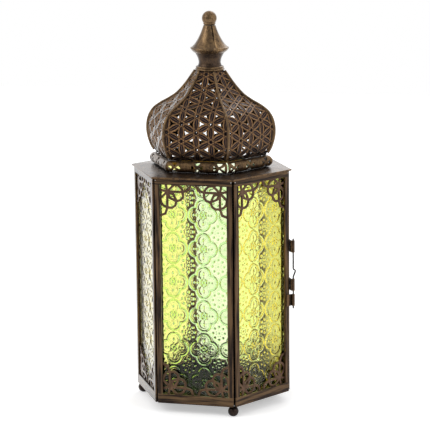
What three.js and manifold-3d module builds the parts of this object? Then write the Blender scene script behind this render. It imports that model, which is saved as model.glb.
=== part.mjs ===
// A hexagonal lantern of dark bronze sheet metal and pressed coloured glass.
// Six framed panes stand on a tray with ball feet, and one of them is a hinged door with a sliding
// bolt. A flared top plate carries a pierced collar, a pierced onion dome and a spun finial.
// Millimetres, +Z up. The origin is on the lantern's axis, on the surface that it stands on.
import * as THREE from 'three';
import { mergeVertices } from 'three/addons/utils/BufferGeometryUtils.js';
import Module from 'manifold-3d';

const wasm = await Module();
wasm.setup();

// Clearances
const seat = 0.3; // between a piece and what it is soldered to or rests on
const doorClearance = 0.6; // above and below the door's frame
const cornerGroove = 1.2; // between neighbouring frames, square to the groove

// The body: radii are from the axis to a corner of the hexagon
const bodyRadius = 71.5;
const bodyHeight = 199.7;
const bodyLift = 9; // from the table to the frames' lower edges

// The frames round the panes
const stileWidth = 5.6;
const topRail = 4.8;
const bottomRail = 8.4;
const frontLip = 1;
const backLip = 0.8;
const channelWall = 0.7;
const railChannel = 1.8; // how far the channel reaches into a rail
const edgeRound = 2.1; // how far the rounding of a frame's outer edge reaches along its face

// The panes and the sheet of fretwork in front of each
const paneThickness = 2.3;
const fretThickness = 1.2;
const fretStrut = 2;
const fretBorderInset = 0.3; // how far the sheet's border stays back behind the frame's lip
const fretHub = 6.1; // from both edges of the opening to the hub of a corner ornament
const fretSpoke = 14; // from the hub to the ends of the level and the upright spoke
const fretFan = 12; // degrees that the two short spokes lean towards the corner
const fretLeaf = 11.6; // from the hub to the tip of the diagonal leaf
const fretLeafWidth = 4.2;
const fretParting = 3.8; // from the hub to where the leaf parts from the level spoke
const fretReach = 0.93; // share of the opening's half width that an ornament reaches over
const fretLobeBulge = 2.8; // how far the inner lobes bulge past the line between their ends
const fretEndBulge = 2.5;
const fretArchBulge = 2;

// The tray that closes the bottom, and its feet
const trayThickness = 0.9;
const trayRim = 7;
const footDiameter = 10;
const footFlat = 0.3; // the flat that a ball foot has worn to
const footInset = 6; // from the body's corner to the foot's centre

// The top plate: a flat ring, sloping down from its crease to a folded edge
const plateOverhang = 1.5;
const plateEdge = 1.3;
const plateFold = 1; // how far the folded edge turns in underneath
const plateRise = 1.5;
const plateSheet = 1;
const plateCrease = 2; // from the collar's edge out to the crease
const plateHoleRadius = 44;

// The collar between the top plate and the dome
const collarRadius = 50.5; // at its upper and lower edge
const collarBulge = 5.4;
const collarHeight = 9.8;
const collarSheet = 0.8;
const collarJoint = 0.8; // open joint between two lengths
const collarPattern = 20; // from one cross of cut-outs to the next
const collarCross = 4.7; // from the middle of a cross to the outer side of its cut-outs
const collarCrossBar = 1.1; // from the middle of a cross to the point of each cut-out
const collarCutOutSpread = 0.72; // half a cut-out's outer side, as a share of its length
const collarEdge = 1; // plain sheet above and below the crosses

// The dome
const domeFootRadius = 50;
const domeBulgeRadius = 57.6;
const domeNeckRadius = 13.3;
const domeHeight = 73.6;
const domeSheet = 0.7;
const goreJoint = 0.5;
const flowerPitch = 15.2; // from one flower of the pierced pattern to the next above it
const flowerStart = 11.6; // from the dome's foot to the first flower on the middle of a gore
const cutOutRadius = 3.5;
const cutOutSizes = [1, 0.8, 0.6, 0.42]; // a cut-out beside a gore's edge is a smaller one
const goreMargin = 1.1; // plain sheet left along a gore's edges
const ribWidth = 2.4;
const ribHeight = 1.2;

// The finial: a waist on a flat ring, a hollow bell and a knob
const finialRingRadius = 13;
const finialRing = 2.6;
const finialShoulder = 1.7; // from the ring's edge in to where the waist starts
const waistRadius = 9.7;
const waistSheet = 1.2;
const waistHeight = 17.6;
const waistTop = 12.9; // radius of the waist's upper edge, which the bell sits round
const bellRadius = 17.15;
const bellHeight = 23.7;
const bellLap = 2.1; // how far the bell's rim hangs down over the waist
const bellLip = 4.3; // height of the bell's rounded rim
const bellShoulder = 13; // radius of the bell above its rim
const bellNeckRadius = 5.4;
const bellSheet = 0.9;
const knobRadius = 6.55;
const knobHeight = 12.2;
const knobUndercut = 1.6; // height of the knob's conical underside

// The hinges
const hingeProud = 1.7; // how far the pins stand out from the corner of the body
const hingeBarrel = 1.6;
const hingePin = 0.65;
const hingeRunning = 0.3; // between the pin and its knuckles, and between two knuckles
const knuckleHeight = 9;
const hingeHeights = [0.26, 0.75]; // of the lower knuckles, in the body's height
const leafThickness = 0.9;
const leafLength = 5;
const pinTail = 1; // of the pin, below its knuckles
const pinHeadRadius = 1.4;
const pinHeadHeight = 1.1;

// The latch
const latchProud = 2.8; // how far the bolt stands out from the corner of the body
const latchBarrel = 1.45;
const boltWire = 0.7;
const boltRunning = 0.3;
const latchHeight = 0.393; // of the keeper's lower edge, in the body's height
const keeperHeight = 10.5;
const sleeveHeight = 10.8;
const sleeveGap = 3.1; // from the keeper up to the lower sleeve
const boltTail = 2.5; // of the bolt, below the keeper
const boltTravel = 14.5;
const thumbHeight = 6.3; // of the bend in the bolt that a thumb pushes
const thumbReach = 1.75; // how far that bend stands out
const thumbTurn = 1.2; // height of the turn at the top of the bend
const boltHead = 1.6; // of the bolt, above the upper sleeve

// Worked out from the sizes above, and two that serve all the cutting and turning
const third = Math.PI / 3;
const past = 1; // how far a cutting body reaches past what it cuts
const tan30 = Math.tan(third / 2);
const cos30 = Math.cos(third / 2);
const apothem = bodyRadius * cos30;
const frameDepth = frontLip + fretThickness + paneThickness + backLip + 3 * seat;
const frameHalf = (depth) => (apothem - depth) * tan30 - cornerGroove / 2 / cos30;
const openingHalf = frameHalf(0) - stileWidth;
const channelHalf = frameHalf(frameDepth - backLip) - channelWall;
const openingHeight = bodyHeight - topRail - bottomRail;
const hingeAxisRadius = bodyRadius + hingeProud;
const latchAxisRadius = bodyRadius + latchProud;
const keeperBottom = bodyLift + latchHeight * bodyHeight;
const plateBottom = bodyLift + bodyHeight + seat;
const plateTop = plateBottom + plateEdge;
const collarBottom = plateTop + plateRise + seat;
const domeBottom = collarBottom + collarHeight + seat;
const finialBottom = domeBottom + domeHeight + seat;

const bronze = new THREE.MeshStandardMaterial({ color: 0x5b4733, roughness: 0.5, metalness: 0.85 });
const rubbedBronze = new THREE.MeshStandardMaterial({ color: 0x7b6142, roughness: 0.42, metalness: 0.9 });
const darkIron = new THREE.MeshStandardMaterial({ color: 0x35302b, roughness: 0.55, metalness: 0.85 });
const glassOf = (color) => new THREE.MeshStandardMaterial({ color, roughness: 0.15, metalness: 0 });
const paleGreen = glassOf(0xd8ecc0);
const yellow = glassOf(0xf2f08c);
const amber = glassOf(0xebcf6a);

// The six sides, each drawn as the front one, facing -Y, and turned to its place
const sides = [
  { name: 'front', turn: 0, glass: paleGreen },
  { name: 'right_front', turn: 1, glass: yellow },
  { name: 'door', turn: 2, glass: amber },
  { name: 'back', turn: 3, glass: paleGreen },
  { name: 'back_left', turn: 4, glass: yellow },
  { name: 'left', turn: 5, glass: amber },
];

const lantern = new THREE.Group();

function place(name, geometry, material, parent = lantern) {
  const mesh = new THREE.Mesh(geometry, material);
  mesh.name = name;
  parent.add(mesh);
  return mesh;
}

// Joining and cutting
function toSolid(geometry) {
  const bare = geometry.clone();
  bare.deleteAttribute('normal');
  bare.deleteAttribute('uv');
  const merged = mergeVertices(bare);
  const vertProperties = new Float32Array(merged.attributes.position.array);
  const triVerts = new Uint32Array(merged.index.array);
  return new wasm.Manifold(new wasm.Mesh({ numProp: 3, vertProperties, triVerts }));
}

function toGeometry(solid) {
  const mesh = solid.getMesh();
  const geometry = new THREE.BufferGeometry();
  geometry.setAttribute('position', new THREE.BufferAttribute(mesh.vertProperties, 3));
  geometry.setIndex(new THREE.BufferAttribute(mesh.triVerts, 1));
  return geometry;
}

const joined = (geometries) => geometries.map(toSolid).reduce((all, next) => all.add(next));
const cut = (solid, geometries) => geometries.map(toSolid).reduce((left, next) => left.subtract(next), solid);

// Basic forms
function block(x0, x1, y0, y1, z0, z1) {
  const box = new THREE.BoxGeometry(x1 - x0, y1 - y0, z1 - z0);
  return box.translate((x0 + x1) / 2, (y0 + y1) / 2, (z0 + z1) / 2);
}

function upright(shape, z0, z1, curveSegments = 3) {
  const prism = new THREE.ExtrudeGeometry(shape, { depth: z1 - z0, bevelEnabled: false, curveSegments });
  return prism.translate(0, 0, z0);
}

// A shape drawn as seen from outside, cut from sheet whose outer face lies at y = outerY
function facing(shape, outerY, thickness) {
  const sheet = new THREE.ExtrudeGeometry(shape, { depth: thickness, bevelEnabled: false });
  return sheet.rotateX(Math.PI / 2).translate(0, outerY + thickness, 0);
}

// A profile of radii and heights, turned round the axis: six segments give the lantern's hexagon
function turned(profile, segments) {
  const points = profile.map(([radius, height]) => new THREE.Vector2(radius, height));
  const start = segments === 6 ? third / 2 : 0;
  return new THREE.LatheGeometry(points, segments, start, 2 * Math.PI).rotateX(Math.PI / 2);
}

const closedProfile = (profile) => [...profile, profile[0]];

function rod(radius, x, y, z0, z1, sidesRound) {
  const cylinder = new THREE.CylinderGeometry(radius, radius, z1 - z0, sidesRound);
  return cylinder.rotateX(Math.PI / 2).translate(x, y, (z0 + z1) / 2);
}

// Frames: a channel round the pane, mitred to its neighbours, with rounded outer edges
function frameGeometry(lift) {
  const outer = new THREE.Shape();
  const half = frameHalf(0);
  const roundDepth = edgeRound * cos30;
  outer.moveTo(-frameHalf(frameDepth), -apothem + frameDepth);
  outer.lineTo(-frameHalf(roundDepth), -apothem + roundDepth);
  outer.quadraticCurveTo(-half, -apothem, -half + edgeRound, -apothem);
  outer.lineTo(half - edgeRound, -apothem);
  outer.quadraticCurveTo(half, -apothem, frameHalf(roundDepth), -apothem + roundDepth);
  outer.lineTo(frameHalf(frameDepth), -apothem + frameDepth);
  const opening = block(
    -openingHalf, openingHalf,
    -apothem - past, -apothem + frameDepth + past,
    bottomRail, bottomRail + openingHeight,
  );
  const channel = block(
    -channelHalf, channelHalf,
    -apothem + frontLip, -apothem + frameDepth - backLip,
    bottomRail - railChannel, bottomRail + openingHeight + railChannel,
  );
  const slab = upright(outer, lift, bodyHeight - lift);
  return toGeometry(cut(toSolid(slab), [opening, channel]));
}

// Fretwork: one sheet, drawn by its openings. Each opening is outlined along the middle lines of the
// strips round it, and then made smaller by half a strip's width
function shrunk(outline) {
  const inwards = (Math.sign(THREE.ShapeUtils.area(outline)) * fretStrut) / 2;
  return outline.map((point, i) => {
    const arriving = point.clone().sub(outline.at(i - 1)).normalize();
    const leaving = outline[(i + 1) % outline.length].clone().sub(point).normalize();
    const scale = inwards / (1 + arriving.dot(leaving));
    const along = arriving.add(leaving);
    return new THREE.Vector2(point.x - scale * along.y, point.y + scale * along.x);
  });
}

// The points of a bowed line, without its first and last
function bow(from, to, bulge, steps) {
  const middle = from.clone().add(to).multiplyScalar(0.5);
  const across = to.clone().sub(from).normalize();
  middle.add(new THREE.Vector2(across.y, -across.x).multiplyScalar(2 * bulge));
  return new THREE.QuadraticBezierCurve(from, middle, to).getPoints(steps).slice(1, -1);
}

// One corner ornament, in distances from the two edges of the opening that meet in its corner
function cornerOrnament() {
  const at = (x, y) => new THREE.Vector2(x, y);
  const mirrored = (points) => points.map((point) => at(point.y, point.x));
  const edge = -fretBorderInset - fretStrut / 2;
  const hub = at(fretHub, fretHub);
  const tip = at(fretHub + fretLeaf * Math.SQRT1_2, fretHub + fretLeaf * Math.SQRT1_2);
  const level = at(fretHub + fretSpoke, fretHub);
  const parting = at(fretHub + fretParting, fretHub);
  const spring = at(2 * fretHub, 0);
  const nearFoot = at(fretHub - (fretHub - edge) * Math.tan(THREE.MathUtils.degToRad(fretFan)), edge);
  const farFoot = at(2 * fretHub - edge, edge);
  const end = at(fretReach * openingHalf, edge);
  const leafSide = bow(hub, tip, fretLeafWidth / 2, 2);
  const lobe = bow(tip, level, -fretLobeBulge, 3);
  const endLobe = bow(level, end, -fretEndBulge, 2);
  const arch = bow(spring, level, fretArchBulge, 3);
  const twice = [
    [nearFoot, farFoot, hub],
    [hub, spring, ...arch, level],
    [farFoot, arch[1], level, ...endLobe, end],
    [parting, ...leafSide, tip, ...lobe, level],
  ];
  const cells = [
    [at(edge, edge), nearFoot, hub, ...mirrored([nearFoot])],
    [hub, ...leafSide, tip, ...mirrored(leafSide)],
    ...twice,
    ...twice.map(mirrored),
  ];
  const halfRim = [...lobe, level, ...endLobe, end];
  return { cells, rim: [...mirrored(halfRim).reverse(), tip, ...halfRim] };
}

function fretworkGeometry() {
  const ornament = cornerOrnament();
  const middle = bottomRail + openingHeight / 2;
  const quarters = [[1, 1], [-1, 1], [-1, -1], [1, -1]];
  const inQuarter = ([right, up]) => (point) => new THREE.Vector2(
    right * (openingHalf - point.x),
    middle + up * (openingHeight / 2 - point.y),
  );
  const width = channelHalf - seat;
  const reach = openingHeight / 2 + railChannel - seat;
  const outerY = -apothem + frontLip + seat;
  const sheet = block(-width, width, outerY, outerY + fretThickness, middle - reach, middle + reach);
  const clear = quarters.flatMap((quarter, index) => {
    const rim = ornament.rim.map(inQuarter(quarter));
    return index % 2 ? rim.reverse() : rim;
  });
  const openings = quarters.flatMap(
    (quarter) => ornament.cells.map((cell) => cell.map(inQuarter(quarter))),
  );
  const cutters = [clear, ...openings].map(
    (outline) => facing(new THREE.Shape(shrunk(outline)), outerY - past, fretThickness + 2 * past),
  );
  return toGeometry(cut(toSolid(sheet), cutters));
}

function paneGeometry() {
  const width = channelHalf - seat;
  const outerY = -apothem + frontLip + fretThickness + 2 * seat;
  const foot = bottomRail - railChannel + seat;
  const head = bottomRail + openingHeight + railChannel - seat;
  return block(-width, width, outerY, outerY + paneThickness, foot, head);
}

// Collar: half-round lengths, mitred to each other, with crosses of triangular cut-outs
function collarGeometry() {
  const middle = collarBottom + collarHeight / 2;
  const arc = (inset) => new THREE.EllipseCurve(
    collarRadius * cos30, middle,
    collarBulge * cos30 - inset, collarHeight / 2 - inset,
    -Math.PI / 2, Math.PI / 2,
  ).getPoints(5);
  const section = new THREE.Shape([...arc(0), ...arc(collarSheet).reverse()]);
  const length = new THREE.ExtrudeGeometry(section, { depth: 2, bevelEnabled: false });
  const position = length.attributes.position;
  for (let i = 0; i < position.count; i += 1) {
    const radius = position.getX(i);
    const half = radius * tan30 - collarJoint / 2 / cos30;
    position.setXYZ(i, (1 - position.getZ(i)) * half, -radius, position.getY(i));
  }
  const holes = [];
  for (const column of [-1, 0, 1]) {
    for (let quarter = 0; quarter < 4; quarter += 1) {
      holes.push(crossCutOut(column * collarPattern, middle, quarter * Math.PI / 2));
    }
  }
  return toGeometry(cut(toSolid(length), holes));
}

function crossCutOut(x, z, turn) {
  const flatten = (collarHeight / 2 - collarEdge) / collarCross;
  const point = (u, v) => new THREE.Vector2(
    x + u * Math.cos(turn) - v * Math.sin(turn),
    z + (u * Math.sin(turn) + v * Math.cos(turn)) * flatten,
  );
  const half = (collarCross - collarCrossBar) * collarCutOutSpread;
  const shape = new THREE.Shape([
    point(collarCrossBar, 0), point(collarCross, half), point(collarCross, -half),
  ]);
  const reach = collarBulge + collarSheet;
  return facing(shape, -(collarRadius + reach) * cos30, reach);
}

// Dome: its outline at the ribs, as radii and heights above its foot
const domeOutline = [
  [domeFootRadius, 0],
  [0.95 * domeBulgeRadius, 0.105 * domeHeight],
  [domeBulgeRadius, 0.26 * domeHeight],
  [0.982 * domeBulgeRadius, 0.41 * domeHeight],
  [0.905 * domeBulgeRadius, 0.52 * domeHeight],
  [0.783 * domeBulgeRadius, 0.594 * domeHeight],
  [0.642 * domeBulgeRadius, 0.655 * domeHeight],
  [0.505 * domeBulgeRadius, 0.73 * domeHeight],
  [0.362 * domeBulgeRadius, 0.855 * domeHeight],
  [domeNeckRadius, domeHeight],
];

function domeCurve(share) {
  return new THREE.SplineCurve(domeOutline.map(
    ([radius, height]) => new THREE.Vector2(radius * share, domeBottom + height),
  ));
}

// A gore is cut flat, pierced, and bent along the dome's outline. The bends run between the rows of
// cut-outs, which are half a flower's pitch apart
function goreGeometry() {
  const line = domeCurve(cos30);
  const length = line.getLength();
  const halfAt = (along) => line.getPointAt(along / length).x * tan30 - goreJoint / 2 / cos30;
  const rowPitch = flowerPitch / 2;
  const levels = [0];
  for (let level = (flowerStart + rowPitch / 2) % rowPitch; level < length; level += rowPitch) {
    levels.push(level);
  }
  levels.push(length);
  const rows = levels.length - 1;
  const flat = new THREE.BoxGeometry(2, rows, domeSheet, 1, rows).translate(0, rows / 2, domeSheet / 2);
  const corner = flat.attributes.position;
  for (let i = 0; i < corner.count; i += 1) {
    const level = levels[Math.round(corner.getY(i))];
    corner.setXY(i, corner.getX(i) * halfAt(level), level);
  }
  const cutOuts = [];
  const columnPitch = flowerPitch * cos30;
  const inside = (p) => p.y > goreMargin && p.y < length - goreMargin
    && Math.abs(p.x) < halfAt(p.y) - goreMargin;
  const columns = Math.ceil(domeBulgeRadius / 2 / columnPitch);
  const flowers = Math.ceil(length / flowerPitch);
  for (let column = -columns; column <= columns; column += 1) {
    for (let row = -2; row <= flowers; row += 1) {
      for (const hand of [-1, 1]) {
        const centre = new THREE.Vector2(
          column * columnPitch + (hand * columnPitch) / 3,
          flowerStart + (row + 0.5 + (column % 2 ? 0.5 : 0)) * flowerPitch,
        );
        const triangle = (radius) => [0, 1, 2].map((corner) => {
          const angle = corner * 2 * third + (hand > 0 ? 0 : Math.PI);
          return new THREE.Vector2(Math.cos(angle), Math.sin(angle)).multiplyScalar(radius).add(centre);
        });
        const radius = cutOutSizes.map((size) => size * cutOutRadius).find((r) => triangle(r).every(inside));
        if (radius) cutOuts.push(upright(new THREE.Shape(triangle(radius)), -past, domeSheet + past));
      }
    }
  }
  const sheet = toGeometry(cut(toSolid(flat), cutOuts));
  const position = sheet.attributes.position;
  for (let i = 0; i < position.count; i += 1) {
    const along = THREE.MathUtils.clamp(position.getY(i) / length, 0, 1);
    const on = line.getPointAt(along);
    const tangent = line.getTangentAt(along);
    const depth = domeSheet - position.getZ(i);
    const radius = on.x - depth * tangent.y;
    const x = position.getX(i) * (radius * tan30 - goreJoint) / (on.x * tan30 - goreJoint);
    position.setXYZ(i, x, -radius, on.y + depth * tangent.x);
  }
  return sheet;
}

// A rib is a strip set on edge over the joint of two gores
function ribGeometry() {
  const line = domeCurve(1);
  const steps = 13;
  const start = 0.03;
  const inner = [];
  const outer = [];
  for (let i = 0; i <= steps; i += 1) {
    const along = start + ((1 - start) * i) / steps;
    const on = line.getPointAt(along);
    const tangent = line.getTangentAt(along);
    const offset = (distance) => new THREE.Vector2(on.x + distance * tangent.y, on.y - distance * tangent.x);
    inner.push(offset(seat));
    outer.unshift(offset(seat + ribHeight));
  }
  const band = new THREE.Shape([...inner, ...outer]);
  return facing(band, -ribWidth / 2, ribWidth);
}

// Finial
const bellBottom = finialBottom + waistHeight - bellLap;

function waistProfile() {
  const z = finialBottom;
  const throat = z + finialRing + 0.3 * (waistHeight - finialRing);
  const swell = z + finialRing + 0.7 * (waistHeight - finialRing);
  const swellRadius = waistRadius + 0.45 * (waistTop - waistRadius);
  return closedProfile([
    [waistRadius - waistSheet, z],
    [finialRingRadius, z],
    [finialRingRadius, z + finialRing],
    [finialRingRadius - finialShoulder, z + finialRing],
    [waistRadius, throat],
    [swellRadius, swell],
    [waistTop, bellBottom],
    [waistTop, z + waistHeight],
    [waistTop - waistSheet, z + waistHeight],
    [swellRadius - waistSheet, swell],
    [waistRadius - waistSheet, throat],
  ]);
}

// The bell's face above its rim, drawn in by a distance
function bellFace(inset) {
  const fall = bellHeight - bellLip;
  const shoulder = bellShoulder - bellNeckRadius;
  return [
    [bellRadius - inset, bellBottom + bellLip],
    [bellShoulder - inset, bellBottom + bellLip + 0.23 * fall - inset],
    [bellNeckRadius + 0.54 * shoulder - inset, bellBottom + bellLip + 0.44 * fall - inset],
    [bellNeckRadius + 0.22 * shoulder - inset, bellBottom + bellLip + 0.71 * fall],
    [bellNeckRadius - inset, bellBottom + bellHeight],
  ];
}

function bellProfile() {
  const seatRadius = waistTop + seat;
  return closedProfile([
    [seatRadius, bellBottom],
    ...bellFace(0),
    ...bellFace(bellSheet).reverse(),
    [seatRadius, bellBottom + bellSheet],
  ]);
}

function knobProfile() {
  const z = bellBottom + bellHeight + seat;
  const centre = z + knobHeight - knobRadius;
  const steps = 5;
  const profile = [[0, z], [bellNeckRadius - bellSheet / 2, z], [knobRadius - seat, z + knobUndercut]];
  for (let i = 0; i < steps; i += 1) {
    const angle = (i * Math.PI) / 2 / steps;
    profile.push([knobRadius * Math.cos(angle), centre + knobRadius * Math.sin(angle)]);
  }
  return [...profile, [0, z + knobHeight]];
}

// A strip of sheet soldered to a stile, rolled into a barrel beyond the corner of the body
function rolledLeaf(end, axisRadius, barrel, bore, height) {
  const x = end * axisRadius * Math.sin(third / 2);
  const y = -axisRadius * cos30;
  const face = -apothem - seat;
  const root = end * (frameHalf(0) - leafLength);
  const leaf = block(Math.min(root, x), Math.max(root, x), face - leafThickness, face, 0, height);
  const solid = toSolid(leaf).add(toSolid(rod(barrel, x, y, 0, height, 10)));
  return toGeometry(cut(solid, [rod(bore, x, y, -past, height + past, 8)]));
}

// The bolt: a straight wire with a bend in it for the thumb
function boltGeometry(top, bendTop) {
  const bendBottom = bendTop - thumbHeight;
  const overlap = 0.1;
  const bend = new THREE.CatmullRomCurve3([
    new THREE.Vector3(0, 0, bendBottom - boltWire),
    new THREE.Vector3(0, 0, bendBottom),
    new THREE.Vector3(thumbReach, 0, bendTop - thumbTurn),
    new THREE.Vector3(thumbReach, 0, bendTop),
    new THREE.Vector3(0, 0, bendTop + boltWire),
    new THREE.Vector3(0, 0, bendTop + 2 * boltWire),
  ]);
  const section = new THREE.Shape();
  section.absarc(0, 0, boltWire, 0, 2 * Math.PI);
  const thumb = new THREE.ExtrudeGeometry(section, { steps: 10, extrudePath: bend, curveSegments: 4 });
  const lower = rod(boltWire, 0, 0, keeperBottom - boltTail, bendBottom - boltWire + overlap, 8);
  const upper = rod(boltWire, 0, 0, bendTop + 2 * boltWire - overlap, top, 8);
  return toGeometry(joined([thumb, lower, upper]));
}

// Putting the body together
const fixedFrame = frameGeometry(0);
const doorFrame = frameGeometry(doorClearance);
const fretwork = fretworkGeometry();
const pane = paneGeometry();
const collarLength = collarGeometry();
const gore = goreGeometry();
const sideGroups = {};
for (const side of sides) {
  const group = new THREE.Group();
  group.rotation.z = side.turn * third;
  lantern.add(group);
  sideGroups[side.name] = group;
  const isDoor = side.name === 'door';
  const frame = place(`${side.name}_frame`, isDoor ? doorFrame : fixedFrame, bronze, group);
  const fret = place(`${side.name}_fretwork`, fretwork, bronze, group);
  const glass = place(`${side.name}_pane`, pane, side.glass, group);
  for (const piece of [frame, fret, glass]) piece.position.z = bodyLift;
  const above = isDoor ? 'right_back' : side.name;
  place(`collar_${above}`, collarLength, bronze, group);
  place(`dome_gore_${above}`, gore, bronze, group);
}

const rib = ribGeometry();
const corners = ['right', 'back_right', 'back_left', 'left', 'front_left', 'front_right'];
corners.forEach((corner, index) => {
  place(`dome_rib_${corner}`, rib, rubbedBronze).rotation.z = index * third;
});

// Tray and feet
const trayRadius = (apothem - frameDepth - seat) / cos30;
place('base_tray', turned([
  [0, bodyLift],
  [trayRadius, bodyLift],
  [trayRadius, bodyLift + trayRim],
  [trayRadius - trayThickness, bodyLift + trayRim],
  [trayRadius - trayThickness, bodyLift + trayThickness],
  [0, bodyLift + trayThickness],
], 6), darkIron);

function footProfile() {
  const radius = footDiameter / 2;
  const centre = radius - footFlat;
  const low = Math.asin(-centre / radius);
  const high = Math.asin((bodyLift - seat - centre) / radius);
  const points = [[0, 0]];
  const steps = 7;
  for (let i = 0; i <= steps; i += 1) {
    const angle = low + ((high - low) * i) / steps;
    points.push([radius * Math.cos(angle), centre + radius * Math.sin(angle)]);
  }
  points[1][1] = 0;
  return [...points, [0, bodyLift - seat]];
}

const foot = turned(footProfile(), 10);
for (const [name, corner] of [['back_right', 1], ['left', 3], ['front', 5]]) {
  const ball = place(`foot_${name}`, foot, bronze);
  const radius = bodyRadius - footInset;
  ball.position.set(radius * Math.cos(corner * third), radius * Math.sin(corner * third), 0);
}

// Top plate
const plateRadius = bodyRadius + plateOverhang;
const creaseRadius = collarRadius + plateCrease;
place('top_plate', turned(closedProfile([
  [plateRadius - plateFold, plateBottom],
  [plateRadius, plateBottom],
  [plateRadius, plateTop],
  [creaseRadius, plateTop + plateRise],
  [plateHoleRadius, plateTop + plateRise],
  [plateHoleRadius, plateTop + plateRise - plateSheet],
  [creaseRadius, plateTop + plateRise - plateSheet],
]), 6), bronze);

// Finial
const finialFacets = 18;
place('finial_waist', turned(waistProfile(), finialFacets), bronze);
place('finial_bell', turned(bellProfile(), finialFacets), rubbedBronze);
place('finial_knob', turned(knobProfile(), finialFacets), rubbedBronze);

// Hinges at the corner between the door and the back
const pinBore = hingePin + hingeRunning;
const doorKnuckle = rolledLeaf(1, hingeAxisRadius, hingeBarrel, pinBore, knuckleHeight);
const frameKnuckle = rolledLeaf(-1, hingeAxisRadius, hingeBarrel, pinBore, knuckleHeight);
const pinHead = 2 * knuckleHeight + 2 * hingeRunning;
const pin = turned([
  [0, -pinTail],
  [hingePin, -pinTail],
  [hingePin, pinHead],
  [pinHeadRadius, pinHead],
  [pinHeadRadius, pinHead + pinHeadHeight / 2],
  [hingePin, pinHead + pinHeadHeight],
  [0, pinHead + pinHeadHeight],
], 8);
['lower', 'upper'].forEach((name, index) => {
  const z = bodyLift + hingeHeights[index] * bodyHeight;
  place(`hinge_${name}_frame_knuckle`, frameKnuckle, bronze, sideGroups.back).position.z = z;
  const doorHalf = place(`hinge_${name}_door_knuckle`, doorKnuckle, bronze, sideGroups.door);
  doorHalf.position.z = z + knuckleHeight + hingeRunning;
  const axle = place(`hinge_${name}_pin`, pin, darkIron);
  axle.position.set(hingeAxisRadius * Math.cos(third), hingeAxisRadius * Math.sin(third), z);
});

// Latch at the corner between the door and the right front side
const boltBore = boltWire + boltRunning;
const lowerSleeve = keeperBottom + keeperHeight + sleeveGap;
const thumbTop = lowerSleeve + sleeveHeight + seat + 2 * boltWire + thumbHeight;
const upperSleeve = thumbTop + 2 * boltWire + boltTravel;
const keeper = rolledLeaf(1, latchAxisRadius, latchBarrel, boltBore, keeperHeight);
const sleeve = rolledLeaf(-1, latchAxisRadius, latchBarrel, boltBore, sleeveHeight);
place('latch_keeper', keeper, bronze, sideGroups.right_front).position.z = keeperBottom;
place('latch_sleeve_lower', sleeve, bronze, sideGroups.door).position.z = lowerSleeve;
place('latch_sleeve_upper', sleeve, bronze, sideGroups.door).position.z = upperSleeve;
const bolt = boltGeometry(upperSleeve + sleeveHeight + boltHead, thumbTop);
place('latch_bolt', bolt, darkIron).position.x = latchAxisRadius;

export default lantern;
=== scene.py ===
# %% [markdown]
# # A Moroccan lantern, dressed in Blender
#
# The lantern is a six-sided case of bronze sheet with pressed, coloured glass behind fretwork
# corners, a pierced collar, a pierced onion dome and a turned finial. The measured model comes in
# first as a fixed frame: whatever already has the right shape keeps it and only gets a finish, and
# the pieces that need more detail than a measured solid carries are modelled again in its place.

# %% Load the frame
import bisect
import math

import bmesh
import bpy
from mathutils import Matrix, Vector, geometry


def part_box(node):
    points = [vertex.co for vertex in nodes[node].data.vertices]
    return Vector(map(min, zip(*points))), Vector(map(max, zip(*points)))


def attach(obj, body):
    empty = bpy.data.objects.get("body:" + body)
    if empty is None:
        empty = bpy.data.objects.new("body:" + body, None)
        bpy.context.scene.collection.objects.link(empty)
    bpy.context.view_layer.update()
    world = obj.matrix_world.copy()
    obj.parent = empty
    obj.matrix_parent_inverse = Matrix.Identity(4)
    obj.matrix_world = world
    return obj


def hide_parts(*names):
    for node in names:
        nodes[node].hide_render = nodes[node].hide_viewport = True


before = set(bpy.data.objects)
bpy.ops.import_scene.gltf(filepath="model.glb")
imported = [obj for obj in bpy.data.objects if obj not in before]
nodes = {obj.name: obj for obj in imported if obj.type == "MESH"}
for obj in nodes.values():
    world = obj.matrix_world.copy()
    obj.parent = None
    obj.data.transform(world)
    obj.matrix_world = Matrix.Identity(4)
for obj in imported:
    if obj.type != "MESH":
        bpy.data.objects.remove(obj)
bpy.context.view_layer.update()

MM = 0.001
scene = bpy.context.scene
print("nodes in the frame:", len(nodes))

# %% [markdown]
# ## The camera
#
# The lantern is seen from a little above and from its left, with a long lens, so its six uprights
# stay almost parallel. The camera is placed by the direction it looks in and by its distance, since
# these two are what one reads off a photograph: the direction from the shape of the hexagon, and
# the distance from how much the uprights draw together.

# %% Camera
TURNED = math.radians(14.444)
TIPPED = math.radians(11.224)
ROLLED = math.radians(-0.566)
DISTANCE = 1750 * MM
FOCAL_PIXELS = 1969.2
PICTURE_PIXELS = 430
SENSOR = 36

ahead = Vector((
    -math.sin(TURNED) * math.cos(TIPPED),
    math.cos(TURNED) * math.cos(TIPPED),
    -math.sin(TIPPED),
))
level = Vector((math.cos(TURNED), math.sin(TURNED), 0))
upward = level.cross(ahead)
aim = level * 3.273 * MM + Vector((0, 0, 166.402 * MM))
camera = bpy.data.objects.new("camera", bpy.data.cameras.new("camera"))
scene.collection.objects.link(camera)
turn = Matrix((
    level * math.cos(ROLLED) + upward * math.sin(ROLLED),
    upward * math.cos(ROLLED) - level * math.sin(ROLLED),
    -ahead,
)).transposed()
camera.matrix_world = Matrix.Translation(aim - ahead * DISTANCE) @ turn.to_4x4()
camera.data.sensor_width = SENSOR
camera.data.lens = FOCAL_PIXELS * SENSOR / PICTURE_PIXELS
camera.data.clip_end = 50
scene.camera = camera
scene.view_settings.view_transform = "Standard"
print("lens, mm:", round(camera.data.lens, 1))

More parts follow.
